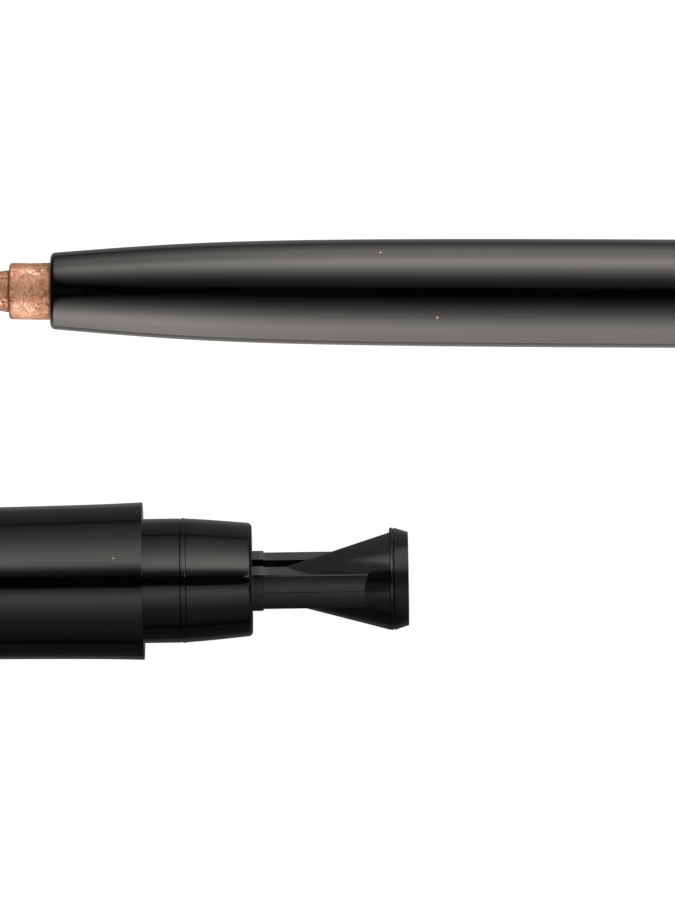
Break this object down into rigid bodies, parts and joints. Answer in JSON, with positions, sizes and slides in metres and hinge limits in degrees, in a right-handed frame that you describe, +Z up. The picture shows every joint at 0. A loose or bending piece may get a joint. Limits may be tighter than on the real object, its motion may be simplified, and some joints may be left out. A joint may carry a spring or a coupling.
{
  "type": "twist-up eyeliner pencil",
  "caption": "Twist-up eyeliner pencil with a thick soft lead in a tapered black shell, lying beside its pulled-out end plug, which carries a moulded funnel sharpener.",
  "frame": {"origin": "middle of the underside of the box round the pencil and its plug, on the surface they lie on", "axes": "+X along the pencil, from its lead to its rear end; +Y from the plug to the pencil; +Z up"},
  "size_m": [0.1284, 0.0284, 0.01],
  "materials": {
    "soft_lead": "soft waxy copper with fine pearl",
    "black_gloss": "glossy black",
    "black_moulding": "black as moulded, a little less glossy",
    "natural_plastic": "uncoloured, milky",
    "soft_ring": "matte"
  },
  "bodies": {
    "front": {"front_shell": "black_gloss", "guide_tube": "natural_plastic", "friction_ring": "soft_ring", "plug_sleeve": "black_gloss", "plug_collar": "black_gloss", "sharpener": "black_moulding"},
    "barrel": {"rear_barrel": "black_gloss", "drive_nut": "natural_plastic"},
    "feed": {"lead": "soft_lead", "lead_carrier": "natural_plastic", "push_rod": "natural_plastic"}
  },
  "joints": [
    {"name": "barrel_twist", "type": "hinge", "parent": "front", "child": "barrel", "pos_m": [0.02493, 0.0092, 0.005], "axis": [-1, 0, 0], "range_deg": [-690, 3840]},
    {"name": "lead_feed", "type": "slide", "parent": "front", "child": "feed", "axis": [-1, 0, 0], "range_m": [-0.00575, 0.032]}
  ],
  "couplings": [
    {"joint": "lead_feed", "follows": "barrel_twist", "m_per_rad": 0.00047746}
  ]
}
